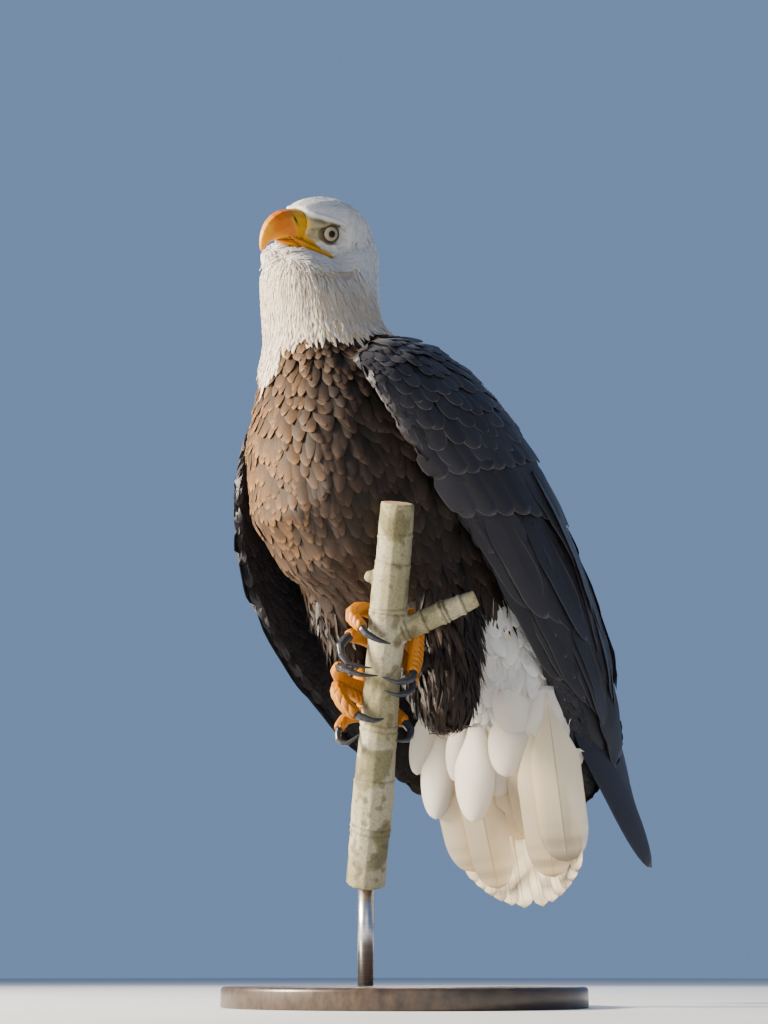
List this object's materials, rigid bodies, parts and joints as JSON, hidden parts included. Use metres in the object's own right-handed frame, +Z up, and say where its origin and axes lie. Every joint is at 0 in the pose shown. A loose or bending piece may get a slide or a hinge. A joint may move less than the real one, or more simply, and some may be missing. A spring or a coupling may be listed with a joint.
{
  "type": "bald eagle figure",
  "caption": "Life-size adult bald eagle model gripping a cut branch on a display stand, head turned, wings folded, white head and tail",
  "frame": {"origin": "centre of the stand base's underside, on the floor", "axes": "+Z up; the bird's body faces -Y; its left side is +X"},
  "size_m": [0.37, 0.5622, 0.8759],
  "materials": {
    "white_feathers": "soft white feathers",
    "brown_feathers": "brown feathers with pale edges",
    "dark_feathers": "blackish brown feathers",
    "bill": "smooth yellow horn",
    "foot_skin": "yellow scaled skin",
    "claw": "black horn",
    "eye": "pale yellow iris under a clear surface",
    "bark": "pale grey green bark",
    "stand_wood": "dark satin wood",
    "stand_metal": "brushed"
  },
  "bodies": {
    "root": {"stand_base": "stand_wood", "stand_rod": "stand_metal", "branch": "bark", "bill_upper": "bill", "bill_lower": "bill", "eye_left": "eye", "eye_right": "eye", "head": "white_feathers", "neck": "white_feathers", "rump": "white_feathers", "tail": "white_feathers", "trunk": "brown_feathers", "wing_left": "dark_feathers", "primaries_left": "dark_feathers", "thigh_left": "dark_feathers", "shank_left": "foot_skin", "toe_left_1": "foot_skin", "claw_left_1": "claw", "toe_left_2": "foot_skin", "claw_left_2": "claw", "toe_left_3": "foot_skin", "claw_left_3": "claw", "toe_left_4": "foot_skin", "claw_left_4": "claw", "wing_right": "dark_feathers", "primaries_right": "dark_feathers", "thigh_right": "dark_feathers", "shank_right": "foot_skin", "toe_right_1": "foot_skin", "claw_right_1": "claw", "toe_right_2": "foot_skin", "claw_right_2": "claw", "toe_right_3": "foot_skin", "claw_right_3": "claw", "toe_right_4": "foot_skin", "claw_right_4": "claw"}
  },
  "joints": []
}
